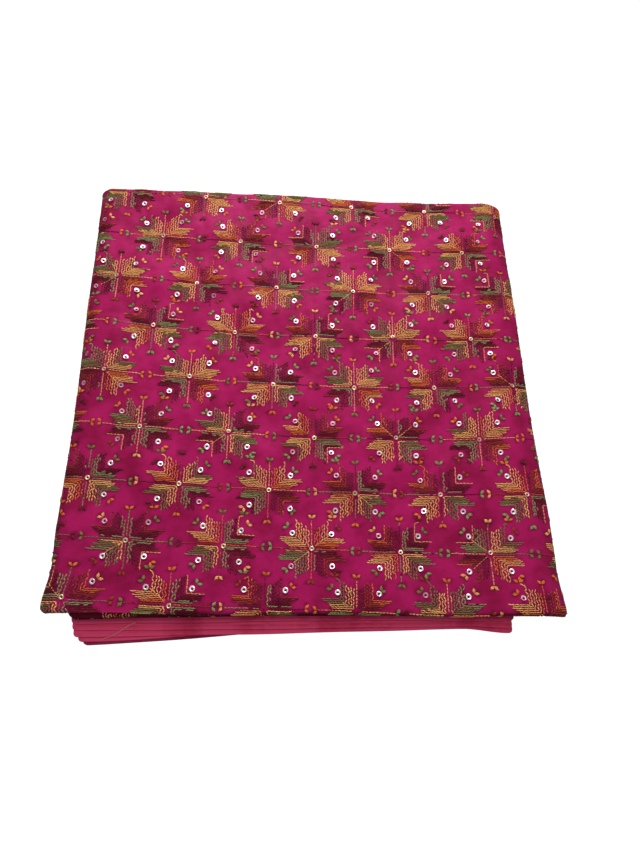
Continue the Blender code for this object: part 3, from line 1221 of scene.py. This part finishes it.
def sewing_tree(name: str) -> bpy.types.NodeTree:
    """The node tree that sets a small shape on every point of a mesh.

    Each point holds the directions along and lift and the vector size. The inputs are the
    Shape, the unevenness of its Width, its Tilt in radians, a Seed and the Finish.
    """
    tree = bpy.data.node_groups.new(name, "GeometryNodeTree")
    inputs = {
        "Geometry": "Geometry",
        "Shape": "Object",
        "Uneven Width": "Float",
        "Tilt": "Float",
        "Seed": "Int",
        "Finish": "Material",
    }
    for label, kind in inputs.items():
        tree.interface.new_socket(label, in_out="INPUT", socket_type=f"NodeSocket{kind}")
    tree.interface.new_socket("Geometry", in_out="OUTPUT", socket_type="NodeSocketGeometry")
    given = add_node(tree, "NodeGroupInput")
    kind = "GeometryNodeInputNamedAttribute"
    along, lift, size = (
        add_node(tree, kind, {"Name": label}, data_type="FLOAT_VECTOR") for label in POINT_VECTORS
    )
    tilt, uneven, seed = (given.outputs[label] for label in ("Tilt", "Uneven Width", "Seed"))
    turned = add_node(
        tree,
        "FunctionNodeAxesToRotation",
        {"Primary Axis": lift.outputs[0], "Secondary Axis": along.outputs[0]},
        primary_axis="Z",
        secondary_axis="X",
    )
    back = add_node(tree, "ShaderNodeMath", {0: tilt, 1: -1.0}, operation="MULTIPLY").outputs[0]
    low = add_node(tree, "ShaderNodeCombineXYZ", {0: back, 1: back})
    high = add_node(tree, "ShaderNodeCombineXYZ", {0: tilt, 1: tilt})
    wobble = add_node(
        tree,
        "FunctionNodeRandomValue",
        {"Min": low.outputs[0], "Max": high.outputs[0], "Seed": seed},
        data_type="FLOAT_VECTOR",
    )
    wobble_turn = add_node(tree, "FunctionNodeEulerToRotation", {0: wobble.outputs[0]})
    turned_both = add_node(
        tree,
        "FunctionNodeRotateRotation",
        {0: turned.outputs[0], 1: wobble_turn.outputs[0]},
        rotation_space="LOCAL",
    )
    narrow = add_node(tree, "ShaderNodeMath", {0: 1.0, 1: uneven}, operation="SUBTRACT")
    wide = add_node(tree, "ShaderNodeMath", {0: 1.0, 1: uneven}, operation="ADD")
    girth = add_node(
        tree,
        "FunctionNodeRandomValue",
        {2: narrow.outputs[0], 3: wide.outputs[0], "Seed": seed},
        data_type="FLOAT",
    )
    girths = add_node(tree, "ShaderNodeCombineXYZ", {0: 1.0, 1: girth.outputs[1], 2: girth.outputs[1]})
    sized = add_node(
        tree,
        "ShaderNodeVectorMath",
        {0: size.outputs[0], 1: girths.outputs[0]},
        operation="MULTIPLY",
    )
    shape = add_node(tree, "GeometryNodeObjectInfo", {"Object": given.outputs["Shape"]})
    placed = add_node(
        tree,
        "GeometryNodeInstanceOnPoints",
        {
            "Points": given.outputs["Geometry"],
            "Instance": shape.outputs["Geometry"],
            "Rotation": turned_both.outputs[0],
            "Scale": sized.outputs[0],
        },
    )
    real = add_node(tree, "GeometryNodeRealizeInstances", {"Geometry": placed.outputs[0]})
    dressed = add_node(
        tree,
        "GeometryNodeSetMaterial",
        {"Geometry": real.outputs[0], "Material": given.outputs["Finish"]},
    )
    result = add_node(tree, "NodeGroupOutput")
    tree.links.new(dressed.outputs[0], result.inputs[0])
    return tree


@dataclass
class Sewing:
    """Turns gathered points into joined meshes by the sewing tree."""

    tree: bpy.types.NodeTree
    origin: Vector

    def piece(
        self,
        name: str,
        points: np.ndarray,
        along: np.ndarray,
        lift: np.ndarray,
        size: np.ndarray,
        shape: bpy.types.Object,
        finish: bpy.types.Material,
        tilt: float,
        uneven: float,
        seed: int,
    ) -> bpy.types.Object:
        """One joined mesh with the shape on every point.

        Args:
            name: the piece's name.
            points: where, from the bundle's middle.
            along: each shape's X direction.
            lift: each shape's Z direction.
            size: each shape's three sizes.
            shape: the small shape.
            finish: its material.
            tilt: how far it may lean, in radians.
            uneven: how much its width may differ, as a share.
            seed: the seed of its unevenness.

        Returns:
            The piece.
        """
        mesh = bpy.data.meshes.new(name)
        mesh.from_pydata((points + np.array(self.origin)).tolist(), [], [])
        for label, values in zip(POINT_VECTORS, (along, lift, size)):
            layer = mesh.attributes.new(label, "FLOAT_VECTOR", "POINT")
            layer.data.foreach_set("vector", np.ascontiguousarray(values, np.float32).ravel())
        piece = new_object(name, mesh)
        sewn = piece.modifiers.new("sewing", "NODES")
        sewn.node_group = self.tree
        given = {"Shape": shape, "Uneven Width": uneven, "Tilt": tilt, "Seed": seed, "Finish": finish}
        for item in self.tree.interface.items_tree:
            if item.in_out == "INPUT" and item.name in given:
                sewn[item.identifier] = given[item.name]
        settle(piece)
        for label in POINT_VECTORS:
            if label in piece.data.attributes:
                piece.data.attributes.remove(piece.data.attributes[label])
        return piece


def dye_of(shade: Skein) -> float:
    """The middle of a shade's share of the dye cycle."""
    before = 0.0
    for skein in Skein:
        if skein is shade:
            break
        before += SKEIN_SHARES[skein]
    return (before + SKEIN_SHARES[shade] / 2) / sum(SKEIN_SHARES.values())


def skein_of(dye: np.ndarray) -> np.ndarray:
    """Which shade each place in the dye cycle falls in, as an index into Skein."""
    bounds = np.cumsum([SKEIN_SHARES[skein] for skein in Skein])
    return np.searchsorted(bounds / bounds[-1], np.mod(dye, 1.0), side="right")


# ---------------------------------------------------------------- the shawl


# The outer leaf's corner radii, from the front right one round to the front left one.
OUTER_CORNERS = (4 * MM, 4.5 * MM, 3.2 * MM, 6 * MM)
# The outer leaf's creases in millimetres: start, end, half width and rise.
OUTER_CREASES = (
    ((-176, -30), (-120, -176), 34, -3.0),
    ((-150, 30), (-70, -140), 10, 0.8),
    ((-60, -20), (-48, -130), 9, 0.5),
    ((-140, -60), (-128, -168), 8, 0.7),
    ((24, 6), (20, -92), 4.5, 0.45),
    ((-20, 2), (165, -12), 26, -0.9),
    ((70, -60), (96, -150), 15, -0.7),
    ((-90, 150), (-30, 60), 24, 0.8),
    ((-150, 120), (-60, 168), 12, -0.6),
    ((60, 168), (118, 96), 14, -0.7),
    ((140, 150), (152, 40), 9, -0.6),
    ((156, -172), (154, -158), 2.6, -1.6),
    ((-60, -172), (-52, -148), 5, -0.7),
    ((62, -172), (58, -150), 4, -0.6),
)


@dataclass(frozen=True)
class LiningFold:
    """One fold of the lining that shows in front, with its sizes in millimetres.

    bottom and top are shares of its solid's height. left, right and back are how far it stays
    in from the bundle's sides, and front how far it comes out. slant is how far its front edge
    runs back to the right, and curl how far it comes out again at its right end.
    """

    name: str
    node: str
    bottom: float
    top: float
    left: float
    right: float
    front: float
    back: float
    slant: float
    slant_start: float
    slant_end: float
    curl: float
    corner: float
    phase: float
    lowest: bool = False


LINING_FOLDS = (
    # name, solid, bottom, top,
    # left, right, front, back, slant, its start and end, curl, corner, phase, whether it is lowest
    (
        "lining_lower_cloth", "lining_lower_fold", 0.0, 0.4,
        16.6, 30, 16.6, 12, 7.5, -0.92, 0.15, 0, 4, 0.4, True,
    ),
    (
        "lining_low_step_cloth", "lining_lower_fold", 0.5, 0.95,
        13.4, 29.4, 14.3, 11, 5.4, -0.9, 0.1, 0, 3, 5.3,
    ),
    (
        "lining_middle_lower_cloth", "lining_middle_fold", 0.0, 0.38,
        10.4, 28, 11.9, 9, 0.8, -0.8, 0.4, 3, 3, 1.9,
    ),
    (
        "lining_middle_upper_cloth", "lining_middle_fold", 0.6, 0.96,
        9.6, 28.4, 7.4, 9.5, -1.6, -0.9, 0.1, 1.5, 3, 4.4,
    ),
    (
        "lining_upper_cloth", "lining_upper_fold", 0.38, 0.98,
        9.4, 27.5, 3.7, 7, -2.5, -0.2, 0.9, 0, 4, 3.1,
    ),
)


# How far in from the edge sequins stop, and how high they stand.
SEQUIN_EDGE = 2 * MM
SEQUIN_RISE = 0.45 * MM
# The loose end of thread from the bundle's middle in millimetres, and its radius.
LOOSE_THREAD = (
    (-141.5, -183.0, 3.05),
    (-138.9, -182.2, 3.7),
    (-136.2, -181.3, 4.55),
    (-132.5, -180.0, 4.75),
    (-129.5, -178.4, 5.3),
    (-127.0, -176.9, 6.25),
    (-123.6, -175.0, 6.9),
    (-120.6, -173.4, 8.6),
    (-117.6, -172.6, 9.55),
)
LOOSE_THREAD_RADIUS = 0.2 * MM


@dataclass
class Shawl:
    """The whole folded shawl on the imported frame."""

    wall: float = 0.5 * MM
    clearance: float = 0.15 * MM
    leaf_half: float = 2.7 * MM
    leaf_gap: float = 0.3 * MM
    # How far each cloth's far ply goes in from its edge, and the spacing of its grid.
    outer_tuck: float = 30 * MM
    inner_tuck: float = 12 * MM
    lining_tuck: float = 25 * MM
    outer_step: float = 2.4 * MM
    inner_step: float = 5 * MM
    lining_step: float = 4 * MM
    # A stitch's height, how much of it stands up, and the lengths that are sewn.
    stitch_height: float = 0.54 * MM
    stitch_stands: float = 0.28
    stitch_lengths: tuple[float, float] = (0.5 * MM, 6 * MM)
    # How far the design runs under the outer leaf's edge, and shifts from fold to fold.
    sewn_under: float = 24 * MM
    fold_shift: tuple[float, float] = (17 * MM, 12 * MM)
    # Where past a hidden fold's edge its sewing starts, and how far it runs under.
    fold_sewn: tuple[float, float] = (-2.5 * MM, 1 * MM)
    # How far the hidden folds stay in from the bundle's left, right, front and back, in millimetres.
    inner_insets: tuple[float, float, float, float] = (11, 27, -1.5, 4)
    inner_corner: float = 5 * MM
    # How far a lining fold sinks behind its front bead, and how far its edges wander.
    lining_hollow: float = 0.72
    lining_wander: float = 0.24 * MM
    stitch_uneven: float = 0.15
    sequin_uneven: float = 0.06

    def __post_init__(self) -> None:
        """Reads the frame's boxes and makes the leaves' forms."""
        low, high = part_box("panel_outer_leaf")
        half = BUNDLE_SIDE / 2
        self.origin = Vector(((low.x + high.x) / 2, high.y - half, 0))
        stack_low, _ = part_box("panel_inner_folds")
        self.outer = OuterLeafForm(
            half,
            half,
            half,
            half,
            self.leaf_half,
            high.z - self.leaf_half,
            OUTER_CORNERS,
            creases=tuple(Crease.of_mm(*row) for row in OUTER_CREASES),
        )
        stack_top = self.outer.middle - self.leaf_half - self.leaf_gap
        self.inner = self.inner_forms(half, stack_low.z, stack_top)
        self.lining = [LiningFold(*row) for row in LINING_FOLDS]

    def inner_forms(self, half: float, bottom: float, top: float) -> list[StackFoldForm]:
        """The four hidden folds, bottom one first, filling the height of their solid."""
        table = (
            # left, right, front, back, phase
            (1.4, 0.4, -1.0, -1.0, 0.3),
            (-0.2, -0.8, -2.6, 0.8, 2.2),
            (0.8, -2.0, -3.0, -0.6, 4.0),
            (1.6, 0.6, -1.4, 0.0, 5.2),
        )
        in_left, in_right, in_front, in_back = self.inner_insets
        each = (top - bottom) / len(table)
        made = []
        for level, (left, right, front, back, phase) in enumerate(table):
            made.append(
                StackFoldForm(
                    half - (in_left - left) * MM,
                    half - (in_right - right) * MM,
                    half - (in_front - front) * MM,
                    half - (in_back - back) * MM,
                    each / 2 - self.clearance / 2,
                    bottom + each * (level + 0.5),
                    (self.inner_corner,) * 4,
                    phase=phase,
                )
            )
        return made

    def lining_form(self, fold: LiningFold) -> StackFoldForm:
        """One fold of the lining, in its share of its solid's height."""
        low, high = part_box(fold.node)
        bottom = low.z + (high.z - low.z) * fold.bottom
        top = low.z + (high.z - low.z) * fold.top
        side = BUNDLE_SIDE / 2
        return StackFoldForm(
            side - fold.left * MM,
            side - fold.right * MM,
            side + fold.front * MM,
            side - fold.back * MM,
            (top - bottom) / 2,
            (top + bottom) / 2,
            (fold.corner * MM,) * 4,
            upside_down=fold.lowest,
            slant=fold.slant * MM,
            slant_start=fold.slant_start,
            slant_end=fold.slant_end,
            curl=fold.curl * MM,
            hollow=self.lining_hollow,
            wander=self.lining_wander,
            phase=fold.phase,
        )

    def build(self) -> None:
        """Builds every piece, hiding the solids that the cloths stand for."""
        leaf = cloth_mesh(
            "panel_outer_cloth", self.outer, self.origin, self.outer_tuck, self.outer_step, self.wall
        )
        self.dress(leaf, MAGENTA_SATIN.material(), "panel_outer_leaf")
        folds = self.inner_folds()
        self.lining_folds()
        self.loose_thread()
        stitched = self.embroider(leaf)

    def inner_folds(self) -> list[bpy.types.Object]:
        """The embroidered folds below the outer leaf, bottom one first."""
        # A darker copy of the satin: painted shade for the folds deep under the outer leaf.
        satin = PAINTED_SHADE_MAGENTA_SATIN.material()
        folds = []
        for level, form in enumerate(self.inner, 1):
            tuck = self.inner_tuck
            fold = cloth_mesh(
                f"panel_fold_{level}", form, self.origin, tuck, self.inner_step, self.wall, tuck
            )
            self.dress(fold, satin, "panel_inner_folds")
            folds.append(fold)
        return folds

    def lining_folds(self) -> None:
        """The plain folds of the lining, lowest first."""
        satin = CRIMSON_PINK_SATIN.material()
        # The lowest fold gets a darker copy of the satin: painted shade.
        low_satin = PAINTED_SHADE_CRIMSON_SATIN.material()
        tuck = self.lining_tuck
        for fold in self.lining:
            form = self.lining_form(fold)
            kept = None if fold.lowest else tuck
            cloth = cloth_mesh(fold.name, form, self.origin, tuck, self.lining_step, self.wall, kept)
            self.dress(cloth, low_satin if fold.lowest else satin, fold.node)

    def embroider(self, leaf: bpy.types.Object) -> list[bpy.types.Object]:
        """Sews the stars and sequins on the outer leaf and on the edges of the folds below.

        Args:
            leaf: the outermost cloth.

        Returns:
            The sewn pieces.
        """
        lattice = Lattice()
        worker = Embroiderer(lattice, StarMotif(lattice.across))
        sewn, sequins = worker.sew()
        start, end, dye, width = sewn.arrays()
        # Painted shade between close stitches on the outer leaf.
        paint_stitch_shade(leaf, start, end, lattice)
        # Each leaf's form, its shift of the design, and where past its edge stitches are sewn.
        places = [(self.outer, 0.0, 0.0, -1.0, self.outer.roll + self.sewn_under)]
        nearest, under = self.fold_sewn
        for level, form in enumerate(self.inner, 1):
            across, along = (shift * level for shift in self.fold_shift)
            places.append((form, across, along, nearest, form.roll + under))
        gathered = [self.laid(lattice, start, end, width, dye, *place) for place in places]
        middle, along, lift, size, dye = (np.concatenate(parts) for parts in zip(*gathered))
        shade = skein_of(dye)
        sewing = Sewing(sewing_tree("sewing"), self.origin)
        grain = unit_grain()
        made = []
        for index, skein in enumerate(Skein):
            chosen = shade == index
            finish = ThreadFinish(f"rayon_thread_{skein.name.lower()}", skein.value).material()
            piece = sewing.piece(
                f"stitches_{skein.name.lower()}",
                middle[chosen],
                along[chosen],
                lift[chosen],
                size[chosen],
                grain,
                finish,
                0.0,
                self.stitch_uneven,
                index + 1,
            )
            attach(piece, BODY)
            made.append(piece)
            log.info("%s: %d stitches", piece.name, int(chosen.sum()))
        for index, kind in enumerate(SequinKind):
            spots = sequins[sequins[:, 2] == index]
            made.append(self.sew_sequins(sewing, spots, lattice, kind))
        return made

    def laid(
        self,
        lattice: Lattice,
        start: np.ndarray,
        end: np.ndarray,
        width: np.ndarray,
        dye: np.ndarray,
        form: LeafForm,
        across: float,
        along: float,
        nearest: float,
        furthest: float,
    ) -> tuple[np.ndarray, ...]:
        """Carries the stitches from the flat lattice onto one folded leaf.

        Args:
            lattice: the lattice that they are laid out on.
            start: where each stitch starts.
            end: where it ends.
            width: its width.
            dye: its place in the dye cycle.
            form: the leaf.
            across: how far the design is shifted across this leaf.
            along: how far it is shifted along.
            nearest: where past the leaf's edge the sewing starts.
            furthest: where it stops.

        Returns:
            The middle, direction, outward direction, size and dye of each stitch on the leaf.
        """
        u0, v0 = lattice.on_cloth(start[:, 0] + across, start[:, 1] + along)
        u1, v1 = lattice.on_cloth(end[:, 0] + across, end[:, 1] + along)
        over = form.over((u0 + u1) / 2, (v0 + v1) / 2)
        kept = (over > nearest) & (over < furthest)
        first = form.lay(u0[kept], v0[kept])
        second = form.lay(u1[kept], v1[kept])
        lift = form.facing(((u0 + u1) / 2)[kept], ((v0 + v1) / 2)[kept])
        reach = np.linalg.norm(second - first, axis=1)
        shortest, longest = self.stitch_lengths
        good = (reach > shortest) & (reach < longest)
        heading = (second - first)[good] / reach[good][:, None]
        height = self.stitch_height
        middle = (first + second)[good] / 2 + lift[good] * height * self.stitch_stands
        size = np.stack([reach[good], width[kept][good], np.full(good.sum(), height)], axis=1)
        return middle, heading, lift[good], size, dye[kept][good]

    def sew_sequins(
        self, sewing: Sewing, spots: np.ndarray, lattice: Lattice, kind: SequinKind
    ) -> bpy.types.Object:
        """Sews one kind of cup sequin on the outermost leaf.

        Args:
            sewing: what makes the joined mesh.
            spots: their places on the lattice.
            lattice: the lattice.
            kind: which look they have.

        Returns:
            The piece.
        """
        finish, radius, lean = kind.value
        u, v = lattice.on_cloth(spots[:, 0], spots[:, 1])
        kept = self.outer.over(u, v) < -SEQUIN_EDGE
        u, v = u[kept], v[kept]
        lift = self.outer.facing(u, v)
        points = self.outer.lay(u, v) + lift * SEQUIN_RISE
        along = np.tile((1.0, 0.0, 0.0), (len(u), 1))
        size = np.full((len(u), 3), radius)
        name = f"sequins_{kind.name.lower()}"
        cup = unit_sequin()
        uneven = self.sequin_uneven
        piece = sewing.piece(name, points, along, lift, size, cup, finish.material(), lean, uneven, 3)
        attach(piece, BODY)
        log.info("%s: %d", name, len(u))
        return piece

    def loose_thread(self) -> None:
        """One pale loose end of thread that lies across the lining's folds at the left."""
        knots = [Vector(spot) * MM + self.origin for spot in LOOSE_THREAD]
        points = []
        sides = 5
        for index, knot in enumerate(knots):
            ahead = knots[min(index + 1, len(knots) - 1)] - knots[max(index - 1, 0)]
            turn = ahead.to_track_quat("Z", "Y")
            for step in range(sides):
                angle = 2 * math.pi * step / sides
                around = Vector((math.cos(angle), math.sin(angle), 0)) * LOOSE_THREAD_RADIUS
                points.append(knot + turn @ around)
        # The rings run along the thread, so each face is turned over to look outwards.
        faces = [(face[0], *face[:0:-1]) for face in rings_joined(len(knots), sides, False)]
        faces.append(tuple(range(sides))[::-1])
        faces.append(tuple(len(points) - sides + step for step in range(sides)))
        mesh = new_mesh("loose_thread", points, faces)
        mesh.materials.append(ThreadFinish("pale_loose_thread", "#E8B0A0").material())
        thread = new_object("loose_thread", mesh)
        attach(thread, BODY)

    def dress(self, piece: bpy.types.Object, finish: bpy.types.Material, node: str) -> None:
        """Gives a cloth its finish and body, and hides the solid that it stands for."""
        piece.data.materials.clear()
        piece.data.materials.append(finish)
        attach(piece, BODY)
        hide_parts(node)
        log.info("%s: %d faces", piece.name, len(piece.data.polygons))


# ---------------------------------------------------------------- the studio


@dataclass(frozen=True)
class Lamp:
    """A square soft light: its place, size, power, what it is aimed at and how wide it spreads."""

    name: str
    place: tuple[float, float, float]
    size: float
    watts: float
    aim: tuple[float, float, float] = (0, 0, 0)
    spread: float = math.pi

    def build(self) -> None:
        """Sets the light up in the scene."""
        data = bpy.data.lights.new(self.name, "AREA")
        data.size = self.size
        data.energy = self.watts
        data.spread = self.spread
        light = new_object(self.name, data)
        light.location = self.place
        light.rotation_mode = "QUATERNION"
        light.rotation_quaternion = (Vector(self.aim) - light.location).to_track_quat("-Z", "Y")


LAMPS = (
    Lamp("window", (0.02, 0.80, 0.72), 0.5, 2.4, (-0.02, 0.13, 0), math.radians(78)),
    Lamp("ceiling", (0.2, 0.3, 2.2), 1.4, 5.0),
    Lamp("front fill", (0.1, -0.95, 0.42), 0.4, 0.3),
)


@dataclass(frozen=True)
class Studio:
    """A pale floor, soft light and the camera above the front edge."""

    camera_place: tuple[float, float, float] = (-0.0309, -0.1989, 0.437)
    aim: tuple[float, float] = (0.0070, -0.0382)
    roll: float = math.radians(12.9)
    lens: float = 27.0
    sensor: float = 36.0
    floor_half: float = 3.0
    floor_base: float = 0.2
    floor_roughness: float = 0.9
    # How high the room starts to brighten from its walls, and where it is brightest.
    brightening: tuple[float, float] = (0.1, 0.9)
    ceiling_light: float = 0.5
    wall_light: float = 0.06
    floor_glow: float = 1.0

    def build(self, shawl: Shawl) -> None:
        """Makes the floor, lights and camera.

        Args:
            shawl: what they are set around.
        """
        self.floor()
        self.lights()
        self.camera(shawl)

    def floor(self) -> None:
        """A wide table just under the shawl that looks white but throws little light up."""
        side = self.floor_half
        corners = [(-side, -side, 0), (side, -side, 0), (side, side, 0), (-side, side, 0)]
        mesh = new_mesh("floor", corners, [(0, 1, 2, 3)])
        floor = new_object("floor", mesh)
        material, tree, shader = new_material("white_paper")
        shader.inputs["Base Color"].default_value = (*(self.floor_base,) * 3, 1)
        shader.inputs["Roughness"].default_value = self.floor_roughness
        shader.inputs["Emission Color"].default_value = (1, 1, 1, 1)
        seen = add_node(tree, "ShaderNodeLightPath").outputs["Is Camera Ray"]
        glow = add_node(tree, "ShaderNodeMath", {0: seen, 1: self.floor_glow}, operation="MULTIPLY")
        tree.links.new(glow.outputs[0], shader.inputs["Emission Strength"])
        mesh.materials.append(material)

    def lights(self) -> None:
        """A room with a bright ceiling and dim walls, a window behind and a low fill in front."""
        world = bpy.data.worlds.new("room")
        bpy.context.scene.world = world
        world.use_nodes = True
        tree = world.node_tree
        place = add_node(tree, "ShaderNodeTexCoord")
        height = add_node(tree, "ShaderNodeSeparateXYZ", {0: place.outputs["Generated"]})
        low, high = self.brightening
        bright = add_node(
            tree,
            "ShaderNodeMapRange",
            {
                "Value": height.outputs["Z"],
                "From Min": low,
                "From Max": high,
                "To Min": self.wall_light,
                "To Max": self.ceiling_light,
            },
        )
        background = tree.nodes["Background"]
        background.inputs["Color"].default_value = (1, 1, 1, 1)
        tree.links.new(bright.outputs[0], background.inputs["Strength"])
        # What the eye sees past the floor is as pale as the floor.
        seen = add_node(tree, "ShaderNodeLightPath").outputs["Is Camera Ray"]
        pale = add_node(
            tree, "ShaderNodeBackground", {"Color": (1, 1, 1, 1), "Strength": self.floor_glow}
        )
        both = add_node(
            tree, "ShaderNodeMixShader", {0: seen, 1: background.outputs[0], 2: pale.outputs[0]}
        )
        tree.links.new(both.outputs[0], tree.nodes["World Output"].inputs["Surface"])
        for lamp in LAMPS:
            lamp.build()

    def camera(self, shawl: Shawl) -> None:
        """A camera held above the front edge, looking down and a little ahead."""
        data = bpy.data.cameras.new("camera")
        data.lens = self.lens
        data.sensor_width = self.sensor
        camera = new_object("camera", data)
        top = shawl.outer.middle + shawl.outer.half
        place = shawl.origin + Vector(self.camera_place) + Vector((0, 0, top))
        target = shawl.origin + Vector((*self.aim, top))
        level = (target - place).to_track_quat("-Z", "Y").to_matrix().to_4x4()
        camera.matrix_world = Matrix.Translation(place) @ level @ Matrix.Rotation(self.roll, 4, "Z")
        bpy.context.scene.camera = camera


def main() -> None:
    """Builds the shawl and the studio."""
    logging.basicConfig(level=logging.INFO, format="%(name)s: %(message)s")
    bpy.context.scene.view_settings.view_transform = "Standard"
    shawl = Shawl()
    shawl.build()
    Studio().build(shawl)


if __name__ == "__main__":
    main()
